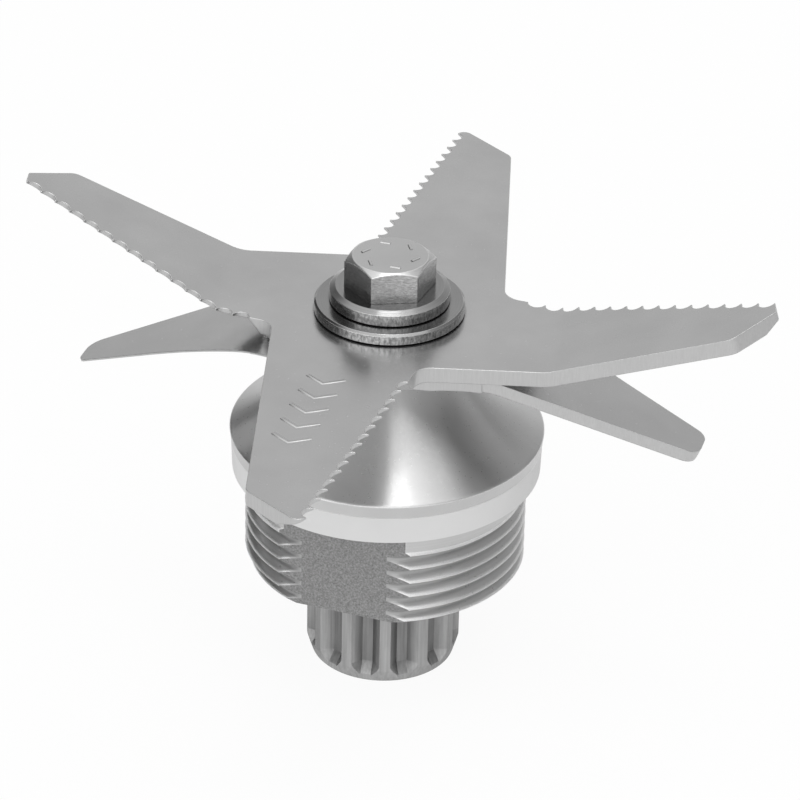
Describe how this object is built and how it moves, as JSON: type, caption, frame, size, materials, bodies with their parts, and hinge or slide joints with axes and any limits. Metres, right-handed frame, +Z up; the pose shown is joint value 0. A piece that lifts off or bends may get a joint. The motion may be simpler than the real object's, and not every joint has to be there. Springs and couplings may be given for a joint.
{
  "type": "blender blade assembly",
  "caption": "Blender blade assembly: serrated upper blade crossed over a plain one, clamped by a hex bolt on a shaft in a threaded bearing housing with a toothed drive gear below.",
  "frame": {"origin": "centre of the drive gear's bottom face, on the shaft's axis", "axes": "+Z up along the shaft, towards the blades; the housing's two flats face -Y and +Y; the flat serrated arms point to -Y and +Y"},
  "size_m": [0.0984, 0.1006, 0.0594],
  "materials": {
    "blade_steel": "polished, finely ground",
    "housing_steel": "turned above, as cast on the two flats",
    "turned_steel": "turned",
    "bolt_steel": "bright, forged and turned",
    "gear_steel": "satin, sintered",
    "screw_steel": "blackened",
    "spring_steel": "spring temper",
    "bearing_steel": "ground",
    "cage_nylon": "moulded",
    "gasket": "smooth, pale",
    "seal_rubber": "smooth"
  },
  "bodies": {
    "body": {"housing": "housing_steel", "flange_gasket": "gasket", "bore_circlip": "spring_steel", "outer_spacer": "turned_steel", "seal_case": "turned_steel", "seal_lip": "seal_rubber", "garter_spring": "spring_steel", "lower_bearing_outer_race": "bearing_steel", "lower_bearing_shields": "bearing_steel", "upper_bearing_outer_race": "bearing_steel", "upper_bearing_shields": "bearing_steel"},
    "rotor": {"drive_shaft": "turned_steel", "drive_gear": "gear_steel", "gear_washer": "turned_steel", "gear_screw": "screw_steel", "lower_blade": "blade_steel", "upper_blade": "blade_steel", "lower_washer": "turned_steel", "upper_washer": "turned_steel", "blade_bolt": "bolt_steel", "lower_bearing_inner_race": "bearing_steel", "upper_bearing_inner_race": "bearing_steel", "inner_spacer": "turned_steel"},
    "lower_cage": {"lower_bearing_balls": "bearing_steel", "lower_bearing_cage": "cage_nylon"},
    "upper_cage": {"upper_bearing_balls": "bearing_steel", "upper_bearing_cage": "cage_nylon"}
  },
  "joints": [
    {"name": "rotor_spin", "type": "hinge", "parent": "body", "child": "rotor", "pos_m": [0, 0, 0.0205], "axis": [0, 0, 1], "continuous": true},
    {"name": "lower_cage_spin", "type": "hinge", "parent": "body", "child": "lower_cage", "pos_m": [0, 0, 0.0215], "axis": [0, 0, 1], "continuous": true},
    {"name": "upper_cage_spin", "type": "hinge", "parent": "body", "child": "upper_cage", "pos_m": [0, 0, 0.031], "axis": [0, 0, 1], "continuous": true}
  ],
  "couplings": [
    {"joint": "lower_cage_spin", "follows": "rotor_spin", "ratio": 0.36778},
    {"joint": "upper_cage_spin", "follows": "rotor_spin", "ratio": 0.36778}
  ]
}
